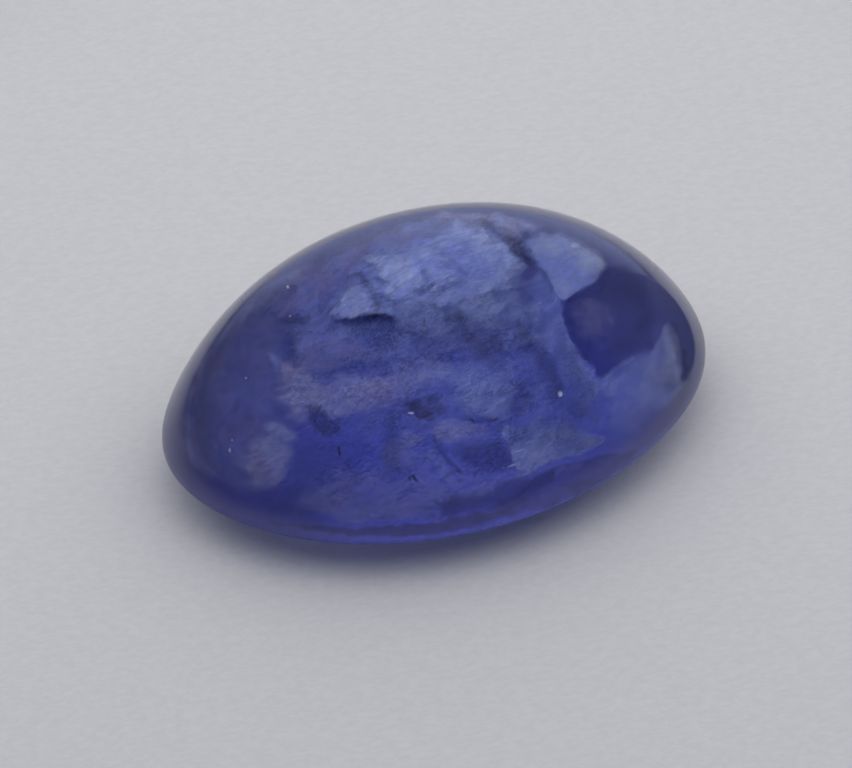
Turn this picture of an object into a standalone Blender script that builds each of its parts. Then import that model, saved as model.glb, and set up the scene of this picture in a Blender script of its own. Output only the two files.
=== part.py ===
"""Oval tanzanite cabochon, cut as one stone with a high dome over a shallow rounded base.

Metres, +Z up, length along X. The origin is under the middle of the stone,
on the small polished flat that it rests on.
"""
import bpy
import bmesh
from math import cos, pi, sin, tau

MM = 0.001

# Driving dimensions
LENGTH = 12.0 * MM
WIDTH = 8.5 * MM
DOME_HEIGHT = 3.67 * MM
GIRDLE_HEIGHT = 0.12 * MM
BASE_DEPTH = 0.95 * MM

# The rest flat is the stone's outline at this share of its full size
FLAT_SHARE = 0.26

# Dome and base are superellipse curves: 1 - share ** SHOULDER, then the root ROUNDING.
# A higher shoulder makes a fuller side, and a lower rounding a flatter slope near the rim.
DOME_SHOULDER = 2.3
DOME_ROUNDING = 1.36
BASE_SHOULDER = 2.0
BASE_ROUNDING = 1.74

# The stone is cut freehand: its outline is a little egg-shaped, with the blunter
# end at +X, and the top of the dome sits off the middle
EGG_LENGTHWISE = 0.014
EGG_CROSSWISE = 0.012
TOP_OFFSET_X = -0.31 * MM
TOP_OFFSET_Y = 0.22 * MM

# Faces round the stone, and rings of faces up each of its surfaces
SEGMENTS = 96
DOME_RINGS = 17
BASE_RINGS = 7

TANZANITE_BLUE = (0.075, 0.085, 0.36, 1.0)
POLISH_ROUGHNESS = 0.06


def clear_objects():
    """Start from an empty model."""
    for old in list(bpy.data.objects):
        bpy.data.objects.remove(old, do_unlink=True)


def outline_point(angle, share):
    """Return x and y on the stone's outline, shrunk to a share of its full size."""
    egg = 1 + EGG_LENGTHWISE * cos(3 * angle) + EGG_CROSSWISE * sin(3 * angle)
    x = 0.5 * LENGTH * cos(angle) * egg * share
    y = 0.5 * WIDTH * sin(angle) * egg * share
    return x, y


def dome_height(share):
    """Return the dome's height above the girdle at a share of the outline."""
    return DOME_HEIGHT * max(0.0, 1 - share ** DOME_SHOULDER) ** (1 / DOME_ROUNDING)


def base_height(share):
    """Return the height of the base above the rest flat at a share of the outline."""
    def depth(at_share):
        return max(0.0, 1 - at_share ** BASE_SHOULDER) ** (1 / BASE_ROUNDING)

    return BASE_DEPTH * (1 - depth(share) / depth(FLAT_SHARE))


def base_levels():
    """List (share, height, lean) for the rings from the rest flat up to the girdle."""
    flat_angle = FLAT_SHARE * 0.5 * pi
    levels = []
    for ring in range(BASE_RINGS + 1):
        turn = flat_angle + (0.5 * pi - flat_angle) * ring / BASE_RINGS
        share = FLAT_SHARE if ring == 0 else sin(turn)
        levels.append((share, base_height(share), 0.0))
    return levels


def dome_levels():
    """List (share, height, lean) for the rings from the girdle up to the last under the top."""
    levels = []
    for ring in range(DOME_RINGS):
        share = cos(0.5 * pi * ring / DOME_RINGS)
        height = BASE_DEPTH + GIRDLE_HEIGHT + dome_height(share)
        levels.append((share, height, 1 - share ** 2))
    return levels


def add_ring(mesh, share, height, lean):
    """Add one closed ring of points and return them."""
    ring = []
    for step in range(SEGMENTS):
        x, y = outline_point(tau * step / SEGMENTS, share)
        point = (x + TOP_OFFSET_X * lean, y + TOP_OFFSET_Y * lean, height)
        ring.append(mesh.verts.new(point))
    return ring


def bridge(mesh, lower, upper):
    """Join two rings with a band of four-sided faces that look outwards."""
    for step in range(SEGMENTS):
        after = (step + 1) % SEGMENTS
        mesh.faces.new((lower[step], lower[after], upper[after], upper[step]))


def centre_on_footprint(mesh):
    """Move the stone so that the middle of its footprint is the origin."""
    across = [point.co.x for point in mesh.verts]
    along = [point.co.y for point in mesh.verts]
    shift_x = 0.5 * (min(across) + max(across))
    shift_y = 0.5 * (min(along) + max(along))
    for point in mesh.verts:
        point.co.x -= shift_x
        point.co.y -= shift_y


def stone_mesh():
    """Build the stone as one closed mesh, from its rest flat up to the top of the dome."""
    mesh = bmesh.new()
    rings = [add_ring(mesh, *level) for level in base_levels() + dome_levels()]
    for lower, upper in zip(rings, rings[1:]):
        bridge(mesh, lower, upper)
    mesh.faces.new(list(reversed(rings[0])))
    top_height = BASE_DEPTH + GIRDLE_HEIGHT + DOME_HEIGHT
    top = mesh.verts.new((TOP_OFFSET_X, TOP_OFFSET_Y, top_height))
    for step in range(SEGMENTS):
        mesh.faces.new((rings[-1][step], rings[-1][(step + 1) % SEGMENTS], top))
    centre_on_footprint(mesh)
    data = bpy.data.meshes.new("tanzanite_cabochon")
    mesh.to_mesh(data)
    mesh.free()
    data.shade_smooth()
    data.set_sharp_from_angle(angle=pi / 6)
    return data


def tanzanite_material():
    """Polished blue-violet tanzanite."""
    material = bpy.data.materials.new("polished_tanzanite")
    material.use_nodes = True
    shader = material.node_tree.nodes["Principled BSDF"]
    shader.inputs["Base Color"].default_value = TANZANITE_BLUE
    shader.inputs["Roughness"].default_value = POLISH_ROUGHNESS
    shader.inputs["Metallic"].default_value = 0.0
    shader.inputs["IOR"].default_value = 1.69
    return material


def make_cabochon():
    """Make the whole stone, which is one piece."""
    stone = bpy.data.objects.new("tanzanite_cabochon", stone_mesh())
    stone.data.materials.append(tanzanite_material())
    bpy.context.scene.collection.objects.link(stone)
    return stone


clear_objects()
make_cabochon()
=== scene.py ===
# %% [markdown]
# # An oval tanzanite cabochon
# The real object is one polished stone, blue-violet and half clear, with a high dome, a
# thin girdle and a shallow rounded base. Its colour is in the depth of the stone, and
# what the eye reads inside it are feathers: thin healed cracks that scatter the light.
# This lesson builds the polished skin first, lays the feathers inside it, and then
# lights it as a gem is photographed, on matt paper under a soft tent.

# %% Load the frame that the stone is dressed on
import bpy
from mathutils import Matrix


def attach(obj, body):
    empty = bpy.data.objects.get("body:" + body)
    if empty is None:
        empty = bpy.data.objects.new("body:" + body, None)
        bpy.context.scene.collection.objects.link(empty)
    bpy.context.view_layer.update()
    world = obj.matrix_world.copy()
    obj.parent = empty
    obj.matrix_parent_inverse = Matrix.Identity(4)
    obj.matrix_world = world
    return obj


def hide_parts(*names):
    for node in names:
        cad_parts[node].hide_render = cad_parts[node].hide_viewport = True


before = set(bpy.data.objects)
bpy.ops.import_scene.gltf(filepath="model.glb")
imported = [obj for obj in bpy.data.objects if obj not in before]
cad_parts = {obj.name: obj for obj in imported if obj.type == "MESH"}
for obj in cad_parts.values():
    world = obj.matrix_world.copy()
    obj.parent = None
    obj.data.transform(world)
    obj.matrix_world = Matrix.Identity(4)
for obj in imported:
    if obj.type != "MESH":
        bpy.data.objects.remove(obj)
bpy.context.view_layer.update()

# %% Tools that the lesson uses
from math import cos, pi, radians, sin, sqrt, tau

import bpy
import numpy as np
from mathutils import Vector
from mathutils.bvhtree import BVHTree
from mathutils.geometry import delaunay_2d_cdt
from mathutils.noise import noise_vector, seed_set

MM = 0.001
NOISE_SEED = 7
seed_set(NOISE_SEED)     # without it the clock seeds the noise, and each run is another stone

# %% [markdown]
# ## The cut
# A cutter grinds a cabochon from an oval outline. Two superellipse curves give its
# section: a steep one for the dome and a shallow one for the base. The sizes are those
# of the solid, so the polished skin lies where the solid's faces are. The outline is a
# little egg-shaped, and the top of the dome sits off the middle, as on a stone that was
# cut by eye to keep its weight.

# %% The stone's measures
LENGTH = 12.0 * MM
WIDTH = 8.5 * MM
DOME_HEIGHT = 3.67 * MM
GIRDLE_HEIGHT = 0.12 * MM
BASE_DEPTH = 0.95 * MM
FLAT_SHARE = 0.26
DOME_SHOULDER = 2.3
DOME_ROUNDING = 1.36
BASE_SHOULDER = 2.0
BASE_ROUNDING = 1.74
EGG_LENGTHWISE = 0.014
EGG_CROSSWISE = 0.012
TOP_OFFSET = Vector((-0.31 * MM, 0.22 * MM, 0.0))


def outline_point(angle, share):
    """Give a point of the oval outline, shrunk to a share of its full size."""
    egg = 1 + EGG_LENGTHWISE * cos(3 * angle) + EGG_CROSSWISE * sin(3 * angle)
    return Vector((0.5 * LENGTH * cos(angle), 0.5 * WIDTH * sin(angle), 0.0)) * (egg * share)


def dome_height(share):
    """Give the dome's height over the girdle at a share of the outline."""
    return DOME_HEIGHT * max(0.0, 1 - share ** DOME_SHOULDER) ** (1 / DOME_ROUNDING)


def base_height(share):
    """Give the height of the base over the rest flat at a share of the outline."""
    def depth(at_share):
        return max(0.0, 1 - at_share ** BASE_SHOULDER) ** (1 / BASE_ROUNDING)

    return BASE_DEPTH * (1 - depth(share) / depth(FLAT_SHARE))


rim_points = [outline_point(tau * step / 720, 1.0) for step in range(720)]
FOOTPRINT_MIDDLE = Vector((
    0.5 * (min(p.x for p in rim_points) + max(p.x for p in rim_points)),
    0.5 * (min(p.y for p in rim_points) + max(p.y for p in rim_points)),
    0.0))
GIRDLE_MIDDLE = Vector((0.0, 0.0, BASE_DEPTH + 0.5 * GIRDLE_HEIGHT)) - FOOTPRINT_MIDDLE
print("middle of the girdle, mm:", [round(v / MM, 3) for v in GIRDLE_MIDDLE])

# %% [markdown]
# ## The camera
# The camera is settled before the stone's inside, because the feathers are placed by
# what it sees. It stands like a macro lens on a tripod: far off for the stone's size,
# 35 degrees above the paper, and turned a third of the way round from the long side.

# %% Camera
VIEW_HEIGHT = radians(35.0)
VIEW_TURN = radians(33.4)
CAMERA_DISTANCE = 200 * MM
PIXELS_PER_MM = 49.1
PHOTO_WIDTH = 852
PHOTO_HEIGHT = 768
GIRDLE_MIDDLE_PIXEL = (437.5, 398.1)
SENSOR_WIDTH_MM = 36.0

to_camera = Vector((-sin(VIEW_TURN) * cos(VIEW_HEIGHT), -cos(VIEW_TURN) * cos(VIEW_HEIGHT), sin(VIEW_HEIGHT)))
camera_right = Vector((cos(VIEW_TURN), -sin(VIEW_TURN), 0.0))
camera_up = to_camera.cross(camera_right)
pixel = MM / PIXELS_PER_MM
aim = (GIRDLE_MIDDLE
       - camera_right * (GIRDLE_MIDDLE_PIXEL[0] - 0.5 * PHOTO_WIDTH) * pixel
       + camera_up * (GIRDLE_MIDDLE_PIXEL[1] - 0.5 * PHOTO_HEIGHT) * pixel)
camera_place = aim + to_camera * CAMERA_DISTANCE

lens = bpy.data.cameras.new("macro_camera")
lens.sensor_width = SENSOR_WIDTH_MM
lens.lens = SENSOR_WIDTH_MM * CAMERA_DISTANCE / (PHOTO_WIDTH * pixel)
lens.clip_start = 5 * MM
camera = bpy.data.objects.new("macro_camera", lens)
camera.location = camera_place
camera.rotation_euler = to_camera.to_track_quat("Z", "Y").to_euler()
bpy.context.scene.collection.objects.link(camera)
bpy.context.scene.camera = camera
print("lens, mm:", round(lens.lens, 1))

# %% [markdown]
# ## The polished skin
# The solid is true in shape but faceted, and a clear stone shows every facet twice, once
# on its skin and once through it. So the skin is turned again from the same curves with
# many more rings. A hand polish is never quite true either: broad shallow waves, a few
# micrometres deep, are added along the surface, and they bend what is seen inside.

# %% Turn the skin from rings of points
SKIN_SEGMENTS = 320
DOME_RINGS = 110
GIRDLE_RINGS = 5
BASE_RINGS = 60


def skin_levels():
    """List share, height and lean of the rings, from the rest flat up to the dome's top."""
    start = FLAT_SHARE * 0.5 * pi
    levels = []
    for ring in range(BASE_RINGS):
        share = FLAT_SHARE if ring == 0 else sin(start + (0.5 * pi - start) * ring / BASE_RINGS)
        levels.append((share, base_height(share), 0.0))
    for ring in range(GIRDLE_RINGS):
        part = ring / GIRDLE_RINGS
        levels.append((1.0, BASE_DEPTH + GIRDLE_HEIGHT * part, 0.0))
    for ring in range(DOME_RINGS):
        share = cos(0.5 * pi * ring / DOME_RINGS)
        levels.append((share, BASE_DEPTH + GIRDLE_HEIGHT + dome_height(share), 1 - share ** 2))
    return levels


def mesh_from(name, points, faces):
    """Make an object with smooth faces from points and faces."""
    data = bpy.data.meshes.new(name)
    data.from_pydata(points, [], faces)
    data.validate()
    data.shade_smooth()
    made = bpy.data.objects.new(name, data)
    bpy.context.scene.collection.objects.link(made)
    return made


WAVE_STEP = 1.1 * MM
WAVE_DEPTH = 0.004 * MM
STONE_HEART = Vector((0.0, 0.0, 1.2 * MM))
WORN_FACING = Vector((0.50, -0.60, 0.625)).normalized()
WORN_EDGE = Vector((4.72, -1.98, 1.70)) * MM


def hand_polished(place):
    """Wear one side of a skin point flat and raise the waves of a hand polish."""
    place = place - WORN_FACING * max(0.0, (place - WORN_EDGE).dot(WORN_FACING))
    away = (place - STONE_HEART).normalized()
    return place + away * WAVE_DEPTH * noise_vector(place / WAVE_STEP)[0] * min(1.0, place.z / MM)


def turn_skin():
    """Turn the skin as one closed mesh."""
    points = []
    for share, height, lean in skin_levels():
        for step in range(SKIN_SEGMENTS):
            place = outline_point(tau * step / SKIN_SEGMENTS, share) + TOP_OFFSET * lean - FOOTPRINT_MIDDLE
            points.append(hand_polished(Vector((place.x, place.y, height))))
    ring_count = len(points) // SKIN_SEGMENTS
    faces = [tuple(reversed(range(SKIN_SEGMENTS)))]
    for ring in range(ring_count - 1):
        low = ring * SKIN_SEGMENTS
        high = low + SKIN_SEGMENTS
        for step in range(SKIN_SEGMENTS):
            after = (step + 1) % SKIN_SEGMENTS
            faces.append((low + step, low + after, high + after, high + step))
    top = len(points)
    summit = TOP_OFFSET - FOOTPRINT_MIDDLE
    points.append((summit.x, summit.y, BASE_DEPTH + GIRDLE_HEIGHT + DOME_HEIGHT))
    last = top - SKIN_SEGMENTS
    for step in range(SKIN_SEGMENTS):
        faces.append((last + step, last + (step + 1) % SKIN_SEGMENTS, top))
    return mesh_from("polished_skin", points, faces)


skin = turn_skin()
skin.data.set_sharp_from_angle(angle=radians(50))
print("skin faces:", len(skin.data.polygons))
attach(skin, "root")
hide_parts("tanzanite_cabochon")

# %% [markdown]
# ## Writing finishes as sums
# A finish in Blender is a web of nodes. Most of the web is plain arithmetic, which reads
# better as an expression. A wire stands for one socket of the web, and adding or
# multiplying wires adds the Math nodes.

# %% Wires and finishes
class Wire:
    """The output of one node, usable in plain arithmetic."""

    def __init__(self, finish, socket):
        self.finish = finish
        self.socket = socket

    def __add__(self, other):
        return self.finish.math("ADD", self, other)

    def __sub__(self, other):
        return self.finish.math("SUBTRACT", self, other)

    def __rsub__(self, other):
        return self.finish.math("SUBTRACT", other, self)

    def __mul__(self, other):
        return self.finish.math("MULTIPLY", self, other)

    __radd__ = __add__
    __rmul__ = __mul__


class Finish:
    """One material, written node by node."""

    def __init__(self, name, holder=None):
        self.material = holder or bpy.data.materials.new(name)
        self.material.use_nodes = True
        self.tree = self.material.node_tree
        self.tree.nodes.clear()

    def node(self, kind, settings=None, sockets=None, output=0):
        """Add a node: its settings first, then the values or wires of its sockets."""
        made = self.tree.nodes.new(kind)
        for name, value in (settings or {}).items():
            if name == "stops":
                ramp = made.color_ramp
                while len(ramp.elements) < len(value):
                    ramp.elements.new(0.5)
                for element, (place, colour) in zip(ramp.elements, value):
                    element.position = place
                    element.color = colour
            else:
                setattr(made, name, value)
        for name, value in (sockets or {}).items():
            if isinstance(value, Wire):
                self.tree.links.new(value.socket, made.inputs[name])
            else:
                made.inputs[name].default_value = value
        return Wire(self, made.outputs[output]) if made.outputs else None

    def math(self, operation, first, second=0.0):
        """Add one Math node."""
        return self.node("ShaderNodeMath", {"operation": operation}, {0: first, 1: second})


# %% Textures that the finishes share
def stretched(finish, slope, long, short):
    """Give a place in the stone, counted in steps that are long one way and short the other."""
    angle = radians(slope)
    run = camera_right * cos(angle) + camera_up * sin(angle)
    rise = camera_up * cos(angle) - camera_right * sin(angle)
    place = finish.node("ShaderNodeTexCoord", {}, {}, "Object")
    parts = {}
    for number, (way, step) in enumerate(((run, long), (rise, short), (to_camera, long))):
        parts[number] = finish.node("ShaderNodeVectorMath", {"operation": "DOT_PRODUCT"},
                                    {0: place, 1: way / (step * MM)}, "Value")
    return finish.node("ShaderNodeCombineXYZ", {}, parts)


def noise(finish, where, detail=4.0, rough=0.55, twist=0.3):
    """Give a noise between 0 and 1 with steps of one unit."""
    return finish.node("ShaderNodeTexNoise", {}, {
        "Vector": where, "Scale": 1.0, "Detail": detail, "Roughness": rough, "Distortion": twist})


def between(finish, value, low, high):
    """Spread a value smoothly from 0 at low to 1 at high."""
    return finish.node("ShaderNodeMapRange", {"interpolation_type": "SMOOTHSTEP"}, {
        "Value": value, "From Min": low, "From Max": high})


def mix_colours(finish, share, first, second):
    """Blend two colours."""
    return finish.node("ShaderNodeMix", {"data_type": "RGBA"}, {0: share, 6: first, 7: second}, 2)

# %% [markdown]
# ## Tanzanite
# Clear stone is made of three plain values: light passes through it, it bends by an index
# of 1.69, and the depth of the stone takes away red and green faster than blue. The
# absorption is given for each metre, so a stone of a few millimetres needs a high one.
# A cutter polishes the dome and leaves the base ground. The ground base is what gives
# such a stone its even inner glow: it spreads the light that comes down through the dome.

# %% The clear stone
STONE_IOR = 1.69
STONE_TINT = (0.0, 0.07, 0.73, 1.0)
STONE_DENSITY = 316.0
DOME_ROUGHNESS = 0.06
GROUND_ROUGHNESS = 0.5
GROUND_TOP = 0.9 * MM
CLEAN_SKIN = (1.0, 1.0, 1.0, 1.0)
PITTED_SKIN = (0.44, 0.44, 0.50, 1.0)
PITS_MIDDLE = Vector((-1.8, -2.9, 3.0)) * MM
PITS_NEAR = 2.0 * MM
PITS_FAR = 3.8 * MM
SKIRT_LOW = 1.3 * MM
SKIRT_HIGH = 2.5 * MM
SKIRT_ROUGHNESS = 0.26

tanzanite = Finish("polished_tanzanite")
place = tanzanite.node("ShaderNodeTexCoord", {}, {}, "Object")
height = tanzanite.node("ShaderNodeSeparateXYZ", {}, {0: place}, "Z")
ground = tanzanite.math("LESS_THAN", height, GROUND_TOP)
grain = between(tanzanite, noise(tanzanite, stretched(tanzanite, 24, 0.11, 0.06), 2.0, 0.8, 0.0), 0.42, 0.58)
drift = between(tanzanite, noise(tanzanite, stretched(tanzanite, 20, 0.7, 0.35), 2.0, 0.65, 0.6), 0.40, 0.60)
off_middle = tanzanite.node("ShaderNodeVectorMath", {"operation": "DISTANCE"}, {0: place, 1: PITS_MIDDLE}, "Value")
pitted = 1 - between(tanzanite, off_middle, PITS_NEAR, PITS_FAR) * 0.75
skin_tint = mix_colours(tanzanite, grain * (drift * 0.7 + 0.3) * pitted, CLEAN_SKIN, PITTED_SKIN)
skirt = 1 - between(tanzanite, height, SKIRT_LOW, SKIRT_HIGH)
fineness = ground * (GROUND_ROUGHNESS - SKIRT_ROUGHNESS) + skirt * (SKIRT_ROUGHNESS - DOME_ROUGHNESS) + DOME_ROUGHNESS
skin_shader = tanzanite.node("ShaderNodeBsdfPrincipled", {}, {
    "Base Color": skin_tint, "Roughness": fineness,
    "IOR": STONE_IOR, "Transmission Weight": 1.0})
depth_colour = tanzanite.node("ShaderNodeVolumeAbsorption", {}, {
    "Color": STONE_TINT, "Density": STONE_DENSITY})
tanzanite.node("ShaderNodeOutputMaterial", {}, {"Surface": skin_shader, "Volume": depth_colour})
skin.data.materials.append(tanzanite.material)

# %% [markdown]
# ## Looking into the stone
# A feather has to lie inside the stone and still show where the photograph shows it. The
# line from the camera bends where it meets the dome, so the lesson follows it in: find
# where it enters, bend it by Snell's law, and measure how far it runs before it leaves.

# %% Follow a line of sight into the stone
skin_tree = BVHTree.FromPolygons([v.co for v in skin.data.vertices], [tuple(p.vertices) for p in skin.data.polygons])
SKIN_CLEARANCE = 0.12 * MM


def look_in(across, down):
    """Follow the line of sight through a pixel: where it enters, its way inside and the length of it."""
    target = aim + (camera_right * (across - 0.5 * PHOTO_WIDTH) - camera_up * (down - 0.5 * PHOTO_HEIGHT)) * pixel
    sight = (target - camera_place).normalized()
    entry, normal, _, _ = skin_tree.ray_cast(camera_place, sight)
    if entry is None:
        return None
    slant = -normal.dot(sight)
    bent = sight / STONE_IOR + normal * (slant / STONE_IOR - sqrt(1 - (1 - slant ** 2) / STONE_IOR ** 2))
    _, _, _, way = skin_tree.ray_cast(entry + bent * 0.01 * MM, bent)
    return entry, bent, way or SKIN_CLEARANCE


print("way through the middle, mm:", round(look_in(*GIRDLE_MIDDLE_PIXEL)[2] / MM, 2))

# %% [markdown]
# ## Feathers
# A feather is a healed crack: a thin, nearly flat film of tiny hollows. Each one is given
# by its outline as the camera sees it, how deep it lies and which way it leans, and is
# built as a closed lens a few hundredths of a millimetre thick. Its edge can be crisp,
# where the crack ends at a cleavage, or can fade away. How solid the film is at each
# point is kept on the mesh as one number, and the finish reads it.

# %% Fill an outline with points
FILM_THICKNESS = 0.016 * MM
SWAY_LENGTH = 16.0
SWAY_MOST = 9.0
SWAY_SHARE = 0.6
WAVE_LENGTH = 34.0
WAVE_FINE = 9.0


def walk_outline(outline, step, ragged, chance, seed):
    """Break an outline into short stretches, a little ragged, and keep each stretch's fade."""
    rim, fades = [], []
    for (x, y, fade), (next_x, next_y, _) in zip(outline, outline[1:] + outline[:1]):
        pieces = max(1, int(np.hypot(next_x - x, next_y - y) / step))
        for piece in range(pieces):
            share = piece / pieces
            here = np.array((x + (next_x - x) * share, y + (next_y - y) * share))
            push = chance.normal(0.0, ragged, 2) if piece else 0.0
            sway = noise_vector(Vector((here[0] / SWAY_LENGTH, here[1] / SWAY_LENGTH, 7.3 * seed)))
            rim.append(here + push + np.array(sway[:2]) * min(SWAY_MOST, SWAY_SHARE * fade))
            fades.append(max(fade, 0.5))
    return np.array(rim), np.array(fades)


def gaps_to_rim(points, rim):
    """Measure from each point to each stretch of the rim, in pixels."""
    along = np.roll(rim, -1, axis=0) - rim
    offset = points[:, None, :] - rim[None, :, :]
    share = np.clip((offset * along).sum(axis=2) / np.maximum((along ** 2).sum(axis=1), 1e-9), 0.0, 1.0)
    return np.linalg.norm(offset - share[:, :, None] * along, axis=2)


def lie_inside(points, rim):
    """Tell which points lie inside the rim."""
    inside = np.zeros(len(points), bool)
    for start, end in zip(rim, np.roll(rim, -1, axis=0)):
        if start[1] == end[1]:
            continue
        crosses = (start[1] > points[:, 1]) != (end[1] > points[:, 1])
        at = (end[0] - start[0]) * (points[:, 1] - start[1]) / (end[1] - start[1]) + start[0]
        inside ^= crosses & (points[:, 0] < at)
    return inside


def fill_outline(rim, fades, step):
    """Lay a staggered grid inside the rim and say how solid the film is at each point of it."""
    low, high = rim.min(axis=0), rim.max(axis=0)
    grid = []
    for row, y in enumerate(np.arange(low[1], high[1], step * 0.87)):
        grid += [(x, y) for x in np.arange(low[0] + (row % 2) * 0.5 * step, high[0], step)]
    grid = np.array(grid) if grid else np.empty((0, 2))
    grid = grid[lie_inside(grid, rim)]
    gaps = gaps_to_rim(grid, rim)
    solid = np.minimum(1.0, (gaps / fades).min(axis=1, initial=9.0))
    keep = gaps.min(axis=1, initial=9.0) > 0.4 * step
    return grid[keep], solid[keep]


# %% Build a feather from its outline
def feather(name, outline, depth, finish, cover=0.5, lean=(0.0, 0.28), ripple=0.04, ragged=0.7, step=4.0, seed=0,
            hug=False):
    """Build one feather. The outline lists across, down and the fade of the edge that starts there."""
    chance = np.random.default_rng(seed + 100)
    rim, fades = walk_outline(outline, step, ragged, chance, seed)
    grid, solid = fill_outline(rim, fades, step)
    flat = [Vector(p) for p in rim] + [Vector(p) for p in grid]
    spots, _, faces, sources, _, _ = delaunay_2d_cdt(flat, [], [list(range(len(rim)))], 1, 1e-4)
    middle = Vector(rim.mean(axis=0))
    entry, bent, _ = look_in(*middle)
    anchor = entry + bent * depth * MM
    facing = (-bent + camera_right * lean[0] + camera_up * lean[1]).normalized()
    places, inner, weights = [], [], []
    for spot, source in zip(spots, sources):
        seen = look_in(*spot) or look_in(*(middle + (spot - middle) * 0.95)) or (entry, bent, 2 * MM)
        start, way_in, way = seen
        broad_wave = noise_vector(Vector((spot.x / WAVE_LENGTH, spot.y / WAVE_LENGTH, 3.1 * seed)))[2]
        fine_wave = noise_vector(Vector((spot.x / WAVE_FINE, spot.y / WAVE_FINE, 5.7 * seed)))[2]
        wave = (broad_wave + 0.2 * fine_wave) * ripple * MM
        reach = depth * MM if hug else (anchor - start).dot(facing) / way_in.dot(facing)
        reach += wave
        places.append(start + way_in * max(SKIN_CLEARANCE, min(reach, way - SKIN_CLEARANCE)))
        inner.append(bool(source) and source[0] >= len(rim))
        weights.append(float(solid[source[0] - len(rim)]) if inner[-1] else 0.0)
    points = [place + facing * 0.5 * FILM_THICKNESS if deep else place for place, deep in zip(places, inner)]
    back = list(range(len(points)))
    for number, place in enumerate(places):
        if inner[number]:
            back[number] = len(points)
            points.append(place - facing * 0.5 * FILM_THICKNESS)
            weights.append(weights[number])
    all_faces = []
    for a, b, c in faces:
        if (places[b] - places[a]).cross(places[c] - places[a]).dot(facing) < 0:
            b, c = c, b
        all_faces.append((a, b, c))
        if any(inner[corner] for corner in (a, b, c)):
            all_faces.append((back[a], back[c], back[b]))
        else:
            all_faces.pop()
    piece = mesh_from(name, points, all_faces)
    piece.data.set_sharp_from_angle(angle=radians(60))
    for label, values in (("body", weights), ("cover", [cover] * len(weights))):
        piece.data.attributes.new(label, "FLOAT", "POINT").data.foreach_set("value", values)
    piece.data.materials.append(finish.material)
    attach(piece, "root")
    return piece


# %% [markdown]
# ## The finish of a feather
# A feather scatters light where its hollows are dense and lets it by where they thin out,
# so its cover follows a stretched noise. The stretch runs along the stone's cleavage.

# %% Feather finishes
def film(name, pale, deep, slope=22, long=0.6, short=0.24, wisp=1.5, mottle=0.5, fibre=0.3,
         silver=1.0, rough=0.35):
    """Make a feather's finish from two colours and its grain."""
    finish = Finish(name)
    body = finish.node("ShaderNodeAttribute", {"attribute_name": "body"}, {}, "Fac")
    cover = finish.node("ShaderNodeAttribute", {"attribute_name": "cover"}, {}, "Fac")
    broad = noise(finish, stretched(finish, slope, long, short), 5.0, 0.68, 0.4)
    shape = between(finish, body + (broad - 0.5) * wisp, 0.05, 0.95)
    patch_place = stretched(finish, slope + 15, 0.45 * long, 0.5 * short)
    patch = between(finish, noise(finish, patch_place, 4.0, 0.72, 0.0), 0.28, 0.72)
    threads = between(finish, noise(finish, stretched(finish, slope, 0.4, 0.06), 3.0, 0.7, 0.0), 0.30, 0.70)
    alpha = cover * shape * (patch * mottle + (1 - mottle)) * (threads * fibre + (1 - fibre))
    share = between(finish, noise(finish, stretched(finish, slope + 40, 0.7, 0.4), 2.0, 0.65, 0.0), 0.3, 0.7)
    shader = finish.node("ShaderNodeBsdfPrincipled", {}, {
        "Base Color": mix_colours(finish, share, deep, pale), "Roughness": rough, "Metallic": silver,
        "IOR": 1.2, "Alpha": alpha})
    finish.node("ShaderNodeOutputMaterial", {}, {"Surface": shader})
    return finish


PALE_SILVER = (0.60, 0.70, 1.0, 1.0)
WHITE_SILVER = (0.72, 0.80, 1.0, 1.0)
BLUE_SILVER = (0.42, 0.52, 0.95, 1.0)
GREY_SILVER = (0.62, 0.70, 0.90, 1.0)
LILAC_SILVER = (0.70, 0.62, 0.80, 1.0)
VIOLET_SILVER = (0.52, 0.48, 0.75, 1.0)
WHITE_FILM = (0.9, 0.94, 1.0, 1.0)
INK_FILM = (0.01, 0.01, 0.10, 1.0)
PLUM_FILM = (0.10, 0.06, 0.26, 1.0)
# dark blue of the sheets that paint shade inside the stone
PAINTED_SHADE_BLUE = (0.03, 0.03, 0.30, 1.0)
CRACK_FILM = (0.01, 0.006, 0.05, 1.0)

cloud = film("cloud_film", PALE_SILVER, BLUE_SILVER)
bright = film("bright_film", WHITE_SILVER, BLUE_SILVER, slope=30, wisp=1.9, mottle=0.45, rough=0.3)
window = film("window_film", GREY_SILVER, BLUE_SILVER, wisp=0.8, mottle=0.3, fibre=0.15)
pane = film("pane_film", PALE_SILVER, BLUE_SILVER, wisp=0.8, mottle=0.3, fibre=0.1)
pool = film("blue_film", BLUE_SILVER, VIOLET_SILVER)
calm = film("calm_film", BLUE_SILVER, VIOLET_SILVER, wisp=0.8, mottle=0.35, fibre=0.1)
haze = film("lilac_film", LILAC_SILVER, GREY_SILVER, slope=12, long=0.5, short=0.22, mottle=0.65, fibre=0.4)
mark = film("mark_film", CRACK_FILM, INK_FILM, wisp=0.3, mottle=0.1, fibre=0.1, silver=0.0, rough=0.6)
ink = film("ink_film", INK_FILM, INK_FILM, long=0.4, short=0.16, wisp=2.0, mottle=0.7, fibre=0.4, silver=0.0, rough=0.6)
# Painted shade: this finish makes no feather, only dark sheets laid where the stone is only in shade.
painted_shade_sheet = film("painted_shade_film", PAINTED_SHADE_BLUE, PAINTED_SHADE_BLUE, wisp=0.4, mottle=0.2, fibre=0.1, silver=0.0, rough=0.6)
plum = film("plum_film", PLUM_FILM, INK_FILM, long=0.4, short=0.16, wisp=1.8, mottle=0.7, fibre=0.4, silver=0.0, rough=0.6)
crack = film("crack_film", CRACK_FILM, PLUM_FILM, long=0.14, short=0.06, wisp=2.4, mottle=0.9, fibre=0.5, silver=0.0)
sprinkle = film("sprinkle_film", CRACK_FILM, INK_FILM, slope=70, long=0.09, short=0.06, wisp=4.0, mottle=1.0, fibre=0.5,
                silver=0.0)
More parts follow.
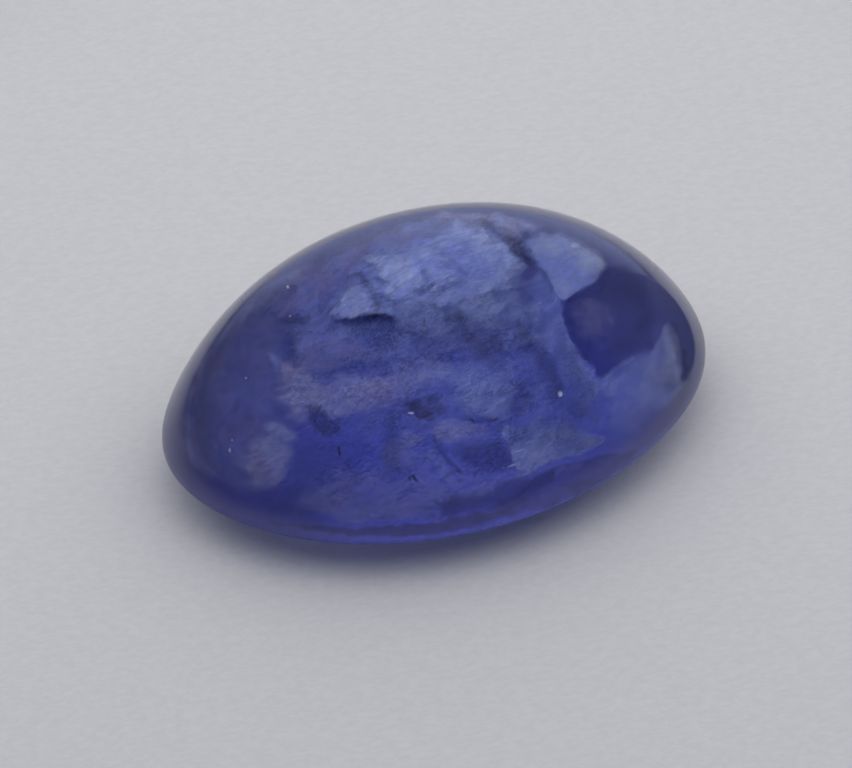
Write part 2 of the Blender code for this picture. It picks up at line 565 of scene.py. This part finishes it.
streak = film("streak_film", WHITE_FILM, PALE_SILVER, slope=16, long=0.5, short=0.05, wisp=1.5, mottle=0.8, rough=0.3)

# %% [markdown]
# ## The feathers of this stone
# They are laid from the deepest to the shallowest. Names say how each looks. Between
# them one clear window of deep blue is left free of feathers; the dark sheets in it and
# along the lower edge are painted shade.

# %% Broad clouds that fill the stone
feather("broad_left_cloud", [
    (172, 446, 26), (176, 420, 28), (184, 390, 28), (198, 358, 26), (222, 324, 22), (252, 296, 16), (290, 288, 30),
    (310, 330, 40), (310, 380, 40), (300, 430, 40), (290, 470, 30), (270, 500, 20), (236, 500, 18), (196, 480, 22)],
    1.0, calm, 0.30, seed=104)
feather("broad_upper_cloud", [
    (232, 322, 20), (262, 292, 18), (300, 262, 14), (350, 234, 12), (410, 214, 10), (470, 208, 10), (520, 214, 14),
    (532, 250, 20), (540, 300, 40), (500, 330, 50), (420, 340, 50), (340, 340, 40), (285, 350, 40), (246, 346, 30)],
    1.2, calm, 0.48, seed=101)
feather("broad_middle_cloud", [
    (280, 330, 50), (340, 306, 50), (420, 296, 50), (500, 290, 40), (552, 300, 16), (572, 338, 10), (597, 377, 8),
    (610, 420, 30), (590, 450, 40), (540, 470, 40), (440, 470, 50), (340, 450, 50), (285, 410, 50)],
    1.6, cloud, 0.44, seed=102)
feather("broad_lower_haze", [
    (300, 480, 30), (360, 450, 40), (440, 440, 50), (520, 440, 50), (590, 440, 30), (600, 458, 16), (540, 490, 14),
    (470, 510, 10), (400, 519, 8), (340, 520, 8), (296, 512, 16)], 0.9, haze, 0.34, seed=103)

feather("broad_seam_cloud", [
    (282, 316, 14), (330, 300, 20), (390, 296, 20), (450, 292, 20), (520, 288, 20), (548, 306, 14), (546, 350, 24),
    (480, 368, 26), (400, 372, 26), (330, 374, 26), (284, 356, 20)], 1.4, cloud, 0.64, seed=117)

feather("broad_back_veil", [
    (330, 300, 30), (372, 262, 26), (430, 236, 20), (490, 234, 20), (540, 262, 30), (544, 320, 30), (480, 350, 34),
    (400, 350, 34), (340, 336, 30)], 2.9, cloud, 0.5, (0.1, 0.1), step=6, seed=121)

# %% Upper veil
feather("veil_base", [
    (322, 316, 5), (352, 318, 5), (384, 314, 8), (404, 326, 26), (440, 330, 34), (480, 324, 34), (516, 306, 30),
    (534, 272, 16), (520, 244, 12), (500, 226, 14), (470, 215, 16), (430, 222, 24), (396, 234, 28), (358, 252, 30),
    (332, 282, 30)], 1.0, cloud, 0.98, (0.0, 0.35), seed=1)
feather("veil_skirt", [
    (384, 304, 14), (430, 292, 20), (480, 286, 20), (522, 292, 20), (528, 324, 20), (470, 340, 24), (420, 344, 24),
    (388, 334, 16)], 0.9, cloud, 0.5, (0.0, 0.35), seed=122)
feather("veil_left", [
    (320, 318, 5), (348, 321, 5), (374, 316, 7), (390, 312, 14), (388, 294, 18), (376, 280, 18), (360, 274, 22),
    (342, 280, 28), (328, 298, 26)], 0.8, bright, 0.62, (0.0, 0.35), seed=2)
feather("veil_core", [
    (348, 256, 26), (366, 276, 22), (374, 292, 18), (384, 310, 14), (404, 312, 26), (434, 306, 32), (462, 292, 34),
    (466, 262, 30), (448, 244, 28), (412, 238, 26), (382, 246, 22), (364, 252, 18)], 0.8, bright, 0.98, (0.0, 0.35), seed=3)
feather("veil_ridge", [
    (392, 256, 16), (410, 240, 16), (432, 228, 16), (455, 218, 12), (480, 215, 10), (492, 226, 10), (474, 240, 16),
    (450, 252, 16), (430, 262, 16), (405, 264, 16)], 0.7, bright, 0.9, (0.0, 0.35), seed=4)
feather("veil_right", [
    (420, 250, 20), (455, 234, 18), (490, 234, 14), (512, 240, 9), (522, 252, 8), (530, 266, 10), (508, 280, 20),
    (482, 282, 22), (448, 274, 22)], 0.8, bright, 0.62, (0.0, 0.35), seed=5)
feather("veil_lower", [
    (392, 302, 14), (420, 288, 18), (450, 276, 18), (482, 268, 16), (506, 284, 18), (494, 308, 18), (460, 318, 18),
    (428, 316, 18), (404, 320, 16)], 0.8, cloud, 0.6, (0.0, 0.35), seed=6)
feather("veil_end", [
    (484, 280, 12), (508, 272, 14), (528, 286, 14), (522, 306, 14), (500, 318, 16), (480, 304, 16)], 0.8, cloud, 0.5, (0.0, 0.35), seed=7)
feather("veil_shade", [
    (460, 228, 12), (480, 222, 10), (502, 236, 10), (504, 250, 10), (486, 256, 12), (468, 246, 12)], 0.6, ink, 0.5, step=3,
    seed=8)
feather("veil_hole", [(412, 268, 8), (428, 263, 8), (438, 272, 8), (424, 281, 8)], 0.6, ink, 0.3, step=3, seed=9)
feather("veil_valley", [
    (352, 268, 9), (366, 270, 9), (380, 288, 8), (388, 307, 8), (374, 309, 9), (362, 290, 9)], 0.6, ink, 0.5, step=3, seed=10)

# %% Dark crack and the grey window beside it
feather("dark_crack", [
    (472, 213, 6), (496, 215, 6), (511, 223, 6), (522, 235, 5), (533, 247, 5), (542, 266, 6), (528, 267, 6),
    (513, 257, 6), (501, 245, 6), (493, 234, 6), (482, 227, 6)], 0.35, plum, 0.42, step=3, seed=11)
feather("grey_window", [
    (512, 240, 10), (530, 230, 12), (565, 232, 12), (586, 241, 12), (600, 253, 9), (607, 263, 7), (604, 273, 5),
    (595, 285, 4), (580, 294, 4), (569, 300, 4), (560, 303, 4), (551, 292, 6), (543, 279, 9), (534, 267, 10),
    (526, 258, 10), (516, 250, 9)], 0.8, window, 0.68, seed=12)
feather("window_glint", [(562, 246, 4), (574, 242, 4), (584, 247, 4), (575, 251, 4)], 0.4, bright, 0.5, step=2, seed=13)
# Painted shade: these dark sheets darken the clear window, which holds no feather.
feather("dark_window", [
    (608, 262, 8), (630, 262, 18), (652, 276, 20), (662, 304, 14), (660, 334, 10), (654, 352, 6), (634, 358, 4),
    (616, 368, 3), (598, 381, 3), (591, 367, 3), (577, 354, 3), (566, 336, 3), (559, 312, 3), (564, 299, 3),
    (580, 290, 3), (594, 281, 3), (602, 271, 3)], 0.5, painted_shade_sheet, 0.36, seed=14)
feather("window_bloom", [
    (566, 304, 20), (592, 286, 20), (622, 296, 24), (618, 330, 24), (598, 356, 20), (576, 340, 16)],
    0.4, haze, 0.14, seed=114)
feather("window_floor", [
    (620, 318, 14), (650, 308, 14), (654, 336, 12), (640, 352, 10), (618, 362, 8), (604, 352, 12)],
    0.4, painted_shade_sheet, 0.16, seed=115)

# %% Right side
feather("long_band_upper", [
    (534, 262, 8), (546, 272, 4), (556, 290, 2.5), (562, 303, 2.5), (566, 325, 2.5), (572, 338, 2.5), (580, 352, 3),
    (560, 352, 16), (540, 336, 18), (524, 310, 20), (514, 285, 22)], 1.0, cloud, 0.45, seed=16)
feather("long_band_lower", [
    (552, 344, 10), (572, 340, 2.5), (582, 354, 2), (597, 367, 1.5), (598, 378, 4), (612, 370, 12), (624, 384, 16),
    (612, 406, 20), (590, 412, 20), (572, 402, 12), (564, 384, 10), (556, 364, 10)], 1.0, cloud, 0.5, seed=17)
feather("right_window", [
    (598, 378, 2), (615, 365.5, 2), (633, 354.5, 2.5), (648, 353, 3), (657, 338, 4), (662, 324, 4), (670, 318, 4),
    (678, 330, 5), (684, 352, 6), (686, 374, 7), (682, 394, 10), (668, 414, 16), (640, 436, 24), (612, 448, 26),
    (596, 434, 24), (590, 408, 20)], 0.8, window, 0.28, (0.1, 0.28), seed=18)
feather("window_ridge", [
    (599, 378, 1), (615, 365, 1), (633, 354, 1.5), (644, 355, 4), (626, 368, 5), (604, 383, 4)], 0.7, bright, 0.35,
    step=2, seed=15)
feather("right_wedge", [
    (656, 344, 5), (662, 326, 5), (670, 322, 5), (677, 334, 5), (680, 356, 6), (674, 372, 10), (662, 368, 10)],
    0.4, cloud, 0.22, (0.1, 0.28), step=3, seed=49)
# Painted dark reflection: an ink sheet darkens a crescent at the right end, where the skin mirrors the shaded paper
# beside the stone.
feather("right_painted_dark_reflection", [
    (668, 318, 4), (677, 328, 4), (686, 350, 4), (693, 372, 4), (693, 384, 4), (685, 386, 4), (680, 368, 4),
    (674, 346, 4)], 0.3, ink, 0.3, step=3, seed=19)
feather("ink_stripe", [
    (516, 318, 16), (534, 326, 12), (548, 342, 8), (558, 362, 6), (566, 386, 6), (562, 402, 12), (546, 402, 16),
    (536, 380, 12), (526, 358, 14), (510, 336, 16)], 0.8, ink, 0.34, seed=20)
feather("ink_blot_middle", [
    (506, 380, 14), (524, 374, 14), (540, 396, 10), (538, 412, 8), (520, 418, 8), (502, 413, 12), (497, 396, 14)],
    0.8, ink, 0.34, step=3, seed=21)
feather("ink_blot_right", [
    (562, 400, 10), (582, 394, 10), (596, 410, 10), (588, 424, 10), (568, 422, 10)], 0.8, ink, 0.34, step=3, seed=22)
feather("ink_blot_upper", [
    (466, 328, 14), (492, 322, 14), (508, 342, 14), (504, 362, 14), (480, 362, 14), (462, 346, 14)], 0.8, ink, 0.34, step=3,
    seed=23)
feather("ink_blot_veil", [
    (440, 312, 12), (462, 302, 11), (476, 316, 12), (464, 332, 12), (446, 328, 12)], 0.8, ink, 0.34, step=3, seed=24)

# %% Middle
feather("blue_pool", [
    (392, 314, 10), (420, 300, 14), (460, 304, 20), (500, 312, 24), (524, 340, 24), (500, 366, 24), (460, 358, 24),
    (420, 364, 24), (400, 345, 14)], 1.2, pool, 0.25, seed=25)
feather("dark_scree", [
    (340, 320, 5), (372, 313, 3), (390, 312, 6), (404, 332, 12), (402, 356, 12), (378, 356, 14), (356, 342, 14),
    (344, 330, 10)], 0.5, sprinkle, 0.5, step=3, seed=27)
feather("left_wisp", [
    (296, 334, 16), (320, 328, 14), (345, 320, 12), (366, 338, 14), (396, 356, 16), (370, 370, 16), (340, 368, 16),
    (318, 384, 20), (290, 376, 20)], 1.0, pool, 0.4, seed=28)
feather("lilac_haze", [
    (292, 374, 20), (330, 374, 10), (360, 368, 18), (400, 360, 24), (440, 350, 24), (474, 360, 24), (468, 382, 22),
    (440, 390, 16), (412, 398, 14), (385, 408, 12), (362, 414, 11), (350, 422, 9), (332, 424, 9), (312, 414, 12),
    (294, 402, 22)], 0.8, haze, 0.42, seed=29)
feather("haze_knot_left", [
    (302, 384, 12), (326, 380, 12), (334, 396, 12), (322, 410, 12), (304, 402, 12)], 0.7, haze, 0.3, step=3, seed=30)
feather("haze_knot_right", [
    (344, 384, 14), (372, 376, 14), (408, 374, 14), (416, 386, 12), (380, 400, 12), (352, 402, 12)], 0.7, haze, 0.3, step=3,
    seed=31)
feather("nest_shade", [
    (396, 398, 9), (416, 390, 10), (444, 396, 12), (452, 410, 10), (436, 420, 8), (410, 418, 8), (394, 410, 8)],
    0.8, ink, 0.42, step=3, seed=116)
feather("pale_cloud", [
    (436, 362, 26), (486, 348, 26), (522, 364, 24), (526, 392, 20), (514, 418, 12), (488, 424, 12), (458, 418, 20),
    (440, 396, 26)], 0.8, cloud, 0.5, seed=32)

# %% Lower right
feather("lower_window", [
    (505, 422, 5), (520, 420, 8), (545, 410, 16), (565, 416, 16), (590, 426, 14), (606, 430, 18), (606, 444, 10),
    (592, 452, 2), (578, 457, 1.5), (562, 460, 1.5), (548, 464, 1.5), (538, 471, 1.5), (528, 474, 2),
    (514, 470, 3), (512, 458, 3), (506, 446, 3), (496, 432, 6)], 0.8, pane, 0.8, ripple=0.012, seed=33)
feather("lilac_strip", [
    (424, 424, 10), (456, 416, 8), (482, 422, 8), (498, 432, 8), (486, 440, 10), (466, 442, 10), (450, 448, 10),
    (432, 442, 10)], 0.8, haze, 0.45, step=3, seed=34)
feather("plum_shade", [
    (448, 444, 12), (470, 438, 10), (490, 435, 6), (502, 440, 5), (510, 450, 4), (516, 462, 4), (508, 471, 6),
    (492, 476, 12), (468, 474, 14), (452, 460, 14)], 0.8, plum, 0.45, step=3, seed=35)
feather("slant_wisp", [
    (420, 438, 7), (434, 446, 6), (448, 462, 6), (464, 486, 7), (456, 494, 7), (440, 480, 7), (426, 458, 7)],
    0.7, cloud, 0.3, step=3, seed=36)
feather("wisp_scrap", [
    (398, 430, 7), (414, 428, 7), (428, 438, 7), (424, 448, 7), (404, 448, 7)], 0.7, haze, 0.3, step=3, seed=37)
feather("bottom_cloud", [
    (330, 504, 14), (380, 498, 16), (410, 488, 20), (440, 482, 20), (470, 482, 12), (492, 480, 5), (502, 477, 4),
    (492, 496, 8), (480, 508, 6), (455, 517, 4), (430, 521, 4), (400, 523, 4), (360, 525, 4), (330, 523, 12)],
    0.7, calm, 0.3, seed=38)
feather("low_left_shade", [
    (284, 436, 30), (330, 426, 26), (376, 430, 26), (392, 470, 26), (350, 500, 20), (322, 522, 10), (270, 514, 10),
    (262, 492, 20), (290, 474, 24)], 1.0, ink, 0.2, seed=105)
feather("low_middle_haze", [
    (376, 436, 20), (410, 428, 20), (430, 446, 20), (424, 474, 20), (396, 486, 20), (370, 470, 20)],
    0.8, calm, 0.34, seed=123)
feather("low_middle_shade", [
    (376, 430, 26), (430, 440, 26), (450, 480, 20), (430, 516, 8), (380, 520, 8), (340, 518, 14), (360, 480, 20)],
    1.0, ink, 0.1, seed=106)
# Painted shade: a dark sheet darkens the band above the lower edge of the stone.
feather("low_band_shade", [
    (430, 500, 14), (466, 488, 14), (500, 479, 8), (530, 474, 6), (562, 462, 5), (556, 486, 14), (530, 504, 14),
    (516, 516, 12), (480, 522, 12), (440, 522, 12)], 0.4, painted_shade_sheet, 0.28, step=3, seed=118)
feather("low_left_dark", [
    (322, 482, 14), (350, 474, 14), (380, 486, 14), (384, 512, 12), (352, 521, 6), (322, 518, 8)],
    0.9, ink, 0.16, step=3, seed=119)
# Painted shade: these two dark sheets darken the stone along its lower edge.
feather("edge_shade_right", [
    (594, 455, 2.5), (620, 452, 8), (640, 440, 8), (636, 460, 8), (612, 480, 6), (580, 499, 6), (545, 512, 6),
    (510, 520, 12), (480, 520, 14), (486, 506, 8), (500, 498, 6), (520, 488, 6), (540, 474, 4), (564, 463, 3)],
    0.3, painted_shade_sheet, 0.28, step=3, seed=39)
feather("edge_shade_left", [
    (510, 505, 8), (520, 515, 8), (477, 530, 5), (440, 536, 4), (400, 539, 4), (350, 537, 4), (310, 533, 5),
    (270, 526, 6), (262, 518, 8), (300, 522, 5), (340, 525, 5), (380, 525, 5), (430, 521, 5), (470, 514, 6)],
    0.3, painted_shade_sheet, 0.5, step=3, seed=38)
feather("crest_haze", [
    (372, 236, 10), (400, 222, 8), (440, 213, 7), (490, 211, 7), (530, 216, 8), (552, 226, 10), (530, 238, 12),
    (490, 236, 14), (440, 236, 14), (400, 248, 14)], 0.5, pool, 0.45, seed=37)
STREAKS = ((498, 470, 28), (506, 455, 24), (512, 478, 22), (516, 446, 24))
for number, (x, y, reach) in enumerate(STREAKS):
    feather(f"bright_streak_{number}", [
        (x, y, 1), (x + 0.5 * reach, y - 0.24 * reach, 1), (x + reach, y - 0.3 * reach, 1),
        (x + 0.5 * reach, y - 0.10 * reach, 1)], 0.4, streak, 1.0, step=1.2, ragged=0.3, seed=40 + number)

# %% Left side
feather("left_rim_cloud", [
    (174, 440, 8), (178, 414, 8), (186, 386, 8), (198, 358, 8), (214, 334, 8), (236, 310, 10), (264, 288, 12),
    (276, 300, 20), (250, 330, 20), (236, 360, 20), (226, 400, 20), (222, 440, 20), (226, 484, 16), (202, 480, 10),
    (184, 462, 10)], 0.3, calm, 0.34, ripple=0.02, seed=120, hug=True)
feather("grey_lozenge", [
    (262, 416, 18), (284, 408, 18), (300, 428, 14), (299, 450, 13), (294, 472, 14), (279, 492, 14), (258, 496, 16),
    (242, 482, 16), (236, 460, 18), (243, 440, 18), (253, 426, 18)], 0.6, haze, 0.36, seed=50)
feather("small_wisp", [
    (260, 352, 6), (272, 349, 6), (286, 360, 7), (288, 369, 7), (276, 370, 6), (266, 361, 6)], 0.6, cloud, 0.3, step=3, seed=51)
feather("plum_spot", [
    (274, 314, 14), (292, 304, 14), (314, 312, 12), (308, 332, 14), (290, 338, 14), (275, 328, 14)], 0.6, plum, 0.35, seed=52)
feather("left_haze", [
    (266, 352, 26), (300, 346, 24), (322, 380, 26), (316, 432, 26), (284, 430, 24), (268, 395, 26)], 0.7, haze, 0.5, seed=53)
feather("upper_left_haze", [
    (242, 312, 10), (266, 284, 10), (300, 258, 10), (320, 260, 18), (304, 290, 24), (276, 312, 22), (254, 324, 18)],
    0.5, pool, 0.32, seed=54)

# %% Small cracks
CRACKS = {
    "crack_nest": ([(304, 404, 6), (320, 401, 6), (331, 412, 6), (341, 420, 6), (343, 434, 6), (326, 438, 6),
                    (313, 429, 6), (305, 418, 6)], 0.4, sprinkle, 0.7),
    "crack_short": ([(336, 444, .5), (340, 446, .5), (342, 455, .5), (339, 456, .5), (337, 450, .5)], 0.4, mark, 0.8),
    "crack_hook": ([(345, 465, .5), (349, 464, .5), (352, 473, .5), (350, 474, .5), (348, 467, .5)], 0.4, mark, 0.7),
    "crack_arch": ([(406, 482, .5), (408, 475, .5), (414, 474, .5), (419, 482, .5), (415, 482, .5), (412, 478, .5),
                    (409, 481, .5)], 0.4, mark, 0.65),
    "crack_hollow": ([(404, 402, 6), (416, 398, 5), (426, 408, 4), (438, 414, 4), (432, 422, 3), (418, 420, 3),
                      (410, 410, 3)], 0.5, crack, 0.85),
    "crack_line": ([(430, 434, 1.5), (436, 436, 1.5), (444, 450, 1.5), (455, 462, 1.5), (465, 474, 1.5),
                    (459, 476, 1.5), (448, 464, 1.5), (438, 452, 1.5)], 0.6, crack, 0.5),
    "crack_marks_left": ([(466, 416, .5), (472, 418, .5), (478, 423, .5), (472, 422, .5)], 0.4, mark, 0.8),
    "crack_marks_right": ([(484, 420, 1), (492, 417, 1), (502, 418, 1), (496, 422, 1), (490, 425, 1)], 0.4, crack, 0.85),
    "crack_rain": ([(378, 408, 8), (398, 410, 8), (405, 440, 8), (402, 474, 8), (384, 476, 8), (379, 440, 8)], 0.5, sprinkle, 0.4),
}
for number, (name, (outline, depth, finish, cover)) in enumerate(CRACKS.items()):
    feather(name, outline, depth, finish, cover, step=2.0, ragged=0.3, ripple=0.01, seed=60 + number)

# %% Pinpoint crystals
SPARK_COLOUR = (0.85, 0.9, 1.0, 1.0)
spark = Finish("spark")
spark_shader = spark.node("ShaderNodeBsdfPrincipled", {}, {
    "Base Color": SPARK_COLOUR, "Roughness": 0.4, "Metallic": 1.0})
spark.node("ShaderNodeOutputMaterial", {}, {"Surface": spark_shader})
PINPOINTS = ((560, 394, 2.6, 3.4), (230, 450, 1.5, 2.4), (232, 440, 1.0, 1.1), (246, 378, 1.0, 1.1), (288, 287, 1.4, 1.6),
             (290, 316, 1.0, 1.0), (411, 413, 3.4, 1.4))
for number, (x, y, half_wide, half_high) in enumerate(PINPOINTS):
    ring = [(x + half_wide * cos(tau * k / 8), y + half_high * sin(tau * k / 8), 0.5) for k in range(8)]
    feather(f"pinpoint_{number}", ring, 0.2, spark, 1.0, ripple=0.0, ragged=0.2, step=1.0, seed=90 + number)

# %% [markdown]
# ## Paper and light
# The stone lies on pale matt paper, whose colour is darkened with painted shade from
# 9.5 mm out to the sides of the stone but not behind it, so that the polished rim mirrors
# dark paper there. The light is a soft tent: a wide panel overhead and a dim room all
# round that is brighter behind the stone, so that the polish shows no hard spot.

# %% Paper
PAPER_SIZE = 0.09
PAPER_COLOUR = (0.80, 0.79, 0.785, 1.0)
PAPER_FIBRE = (0.75, 0.74, 0.735, 1.0)
# colour of the painted shade that darkens the paper far to the sides of the stone
PAPER_PAINTED_SHADE = (0.16, 0.16, 0.17, 1.0)
PAINTED_SHADE_START = 9.5 * MM
PAINTED_SHADE_END = 20 * MM
PAPER_DROP = 0.01 * MM

behind = Vector((sin(VIEW_TURN), cos(VIEW_TURN), 0.0))
half = 0.5 * PAPER_SIZE
corners = ((-half, -half), (half, -half), (half, half), (-half, half))
floor = mesh_from("paper", [(x, y, -PAPER_DROP) for x, y in corners], [(0, 1, 2, 3)])
paper = Finish("matt_paper")
place = paper.node("ShaderNodeTexCoord", {}, {}, "Object")
side = paper.node("ShaderNodeVectorMath", {"operation": "DOT_PRODUCT"}, {0: place, 1: camera_right}, "Value")
way = paper.node("ShaderNodeVectorMath", {"operation": "NORMALIZE"}, {0: place})
to_rear = paper.node("ShaderNodeVectorMath", {"operation": "DOT_PRODUCT"}, {0: way, 1: behind}, "Value")
far = paper.node("ShaderNodeVectorMath", {"operation": "LENGTH"}, {0: place}, "Value")
reach = paper.math("MAXIMUM", paper.math("ABSOLUTE", side), far * 0.6)
# painted shade: the paper's colour darkens away to the sides of the stone, where its light would fall off, but not
# behind it
paper_painted_shade = between(paper, reach, PAINTED_SHADE_START, PAINTED_SHADE_END) * (1 - between(paper, to_rear, 0.78, 0.97))
fibres = between(paper, noise(paper, stretched(paper, 10, 0.22, 0.10), 3.0, 0.7, 0.4), 0.3, 0.7)
pulp = mix_colours(paper, fibres, PAPER_COLOUR, PAPER_FIBRE)
paper_shader = paper.node("ShaderNodeBsdfPrincipled", {}, {
    "Base Color": mix_colours(paper, paper_painted_shade, pulp, PAPER_PAINTED_SHADE), "Roughness": 0.9})
paper.node("ShaderNodeOutputMaterial", {}, {"Surface": paper_shader})
floor.data.materials.append(paper.material)

# %% Light
PANEL_SIZE = 0.13
PANEL_HEIGHT = 0.038
PANEL_POWER = 0.0345
ROOM_SIDES = 0.05
ROOM_REAR = 0.55
ROOM_FRONT = 0.15
ROOM_RIGHT = 0.10
ROOM_COLOUR = (0.77, 0.88, 1.3, 1.0)

room = bpy.data.worlds.new("dim_room")
tent = Finish("dim_room", room)
towards = tent.node("ShaderNodeTexCoord", {}, {}, "Generated")
rearward = tent.node("ShaderNodeVectorMath", {"operation": "DOT_PRODUCT"}, {0: towards, 1: behind}, "Value")
aside = (camera_right * 0.75 + behind * 0.66).normalized()
rightward = tent.node("ShaderNodeVectorMath", {"operation": "DOT_PRODUCT"}, {0: towards, 1: aside}, "Value")
tent_light = tent.node("ShaderNodeBackground", {}, {
    "Color": ROOM_COLOUR,
    "Strength": between(tent, rearward, 0.72, 0.99) * ROOM_REAR + between(tent, rightward, 0.72, 0.98) * ROOM_RIGHT
                + between(tent, 0 - rearward, 0.0, 0.6) * ROOM_FRONT + ROOM_SIDES})
tent.node("ShaderNodeOutputWorld", {}, {"Surface": tent_light})
bpy.context.scene.world = room

panel = bpy.data.lights.new("overhead_panel", "AREA")
panel.shape = "DISK"
panel.size = PANEL_SIZE
panel.energy = PANEL_POWER
panel_lamp = bpy.data.objects.new("overhead_panel", panel)
panel_lamp.location = behind * 0.009 + Vector((0.0, 0.0, PANEL_HEIGHT))
panel_lamp.rotation_euler = panel_lamp.location.to_track_quat("Z", "Y").to_euler()
panel_lamp.visible_glossy = False
panel_lamp.visible_camera = False
bpy.context.scene.collection.objects.link(panel_lamp)

view = bpy.context.scene.view_settings
view.view_transform = "Standard"
cycles = bpy.context.scene.cycles
cycles.use_denoising = True
cycles.adaptive_threshold = 0.04
cycles.adaptive_min_samples = 16
cycles.max_bounces = 12
cycles.transmission_bounces = 12
cycles.glossy_bounces = 8
cycles.diffuse_bounces = 3
cycles.transparent_max_bounces = 48
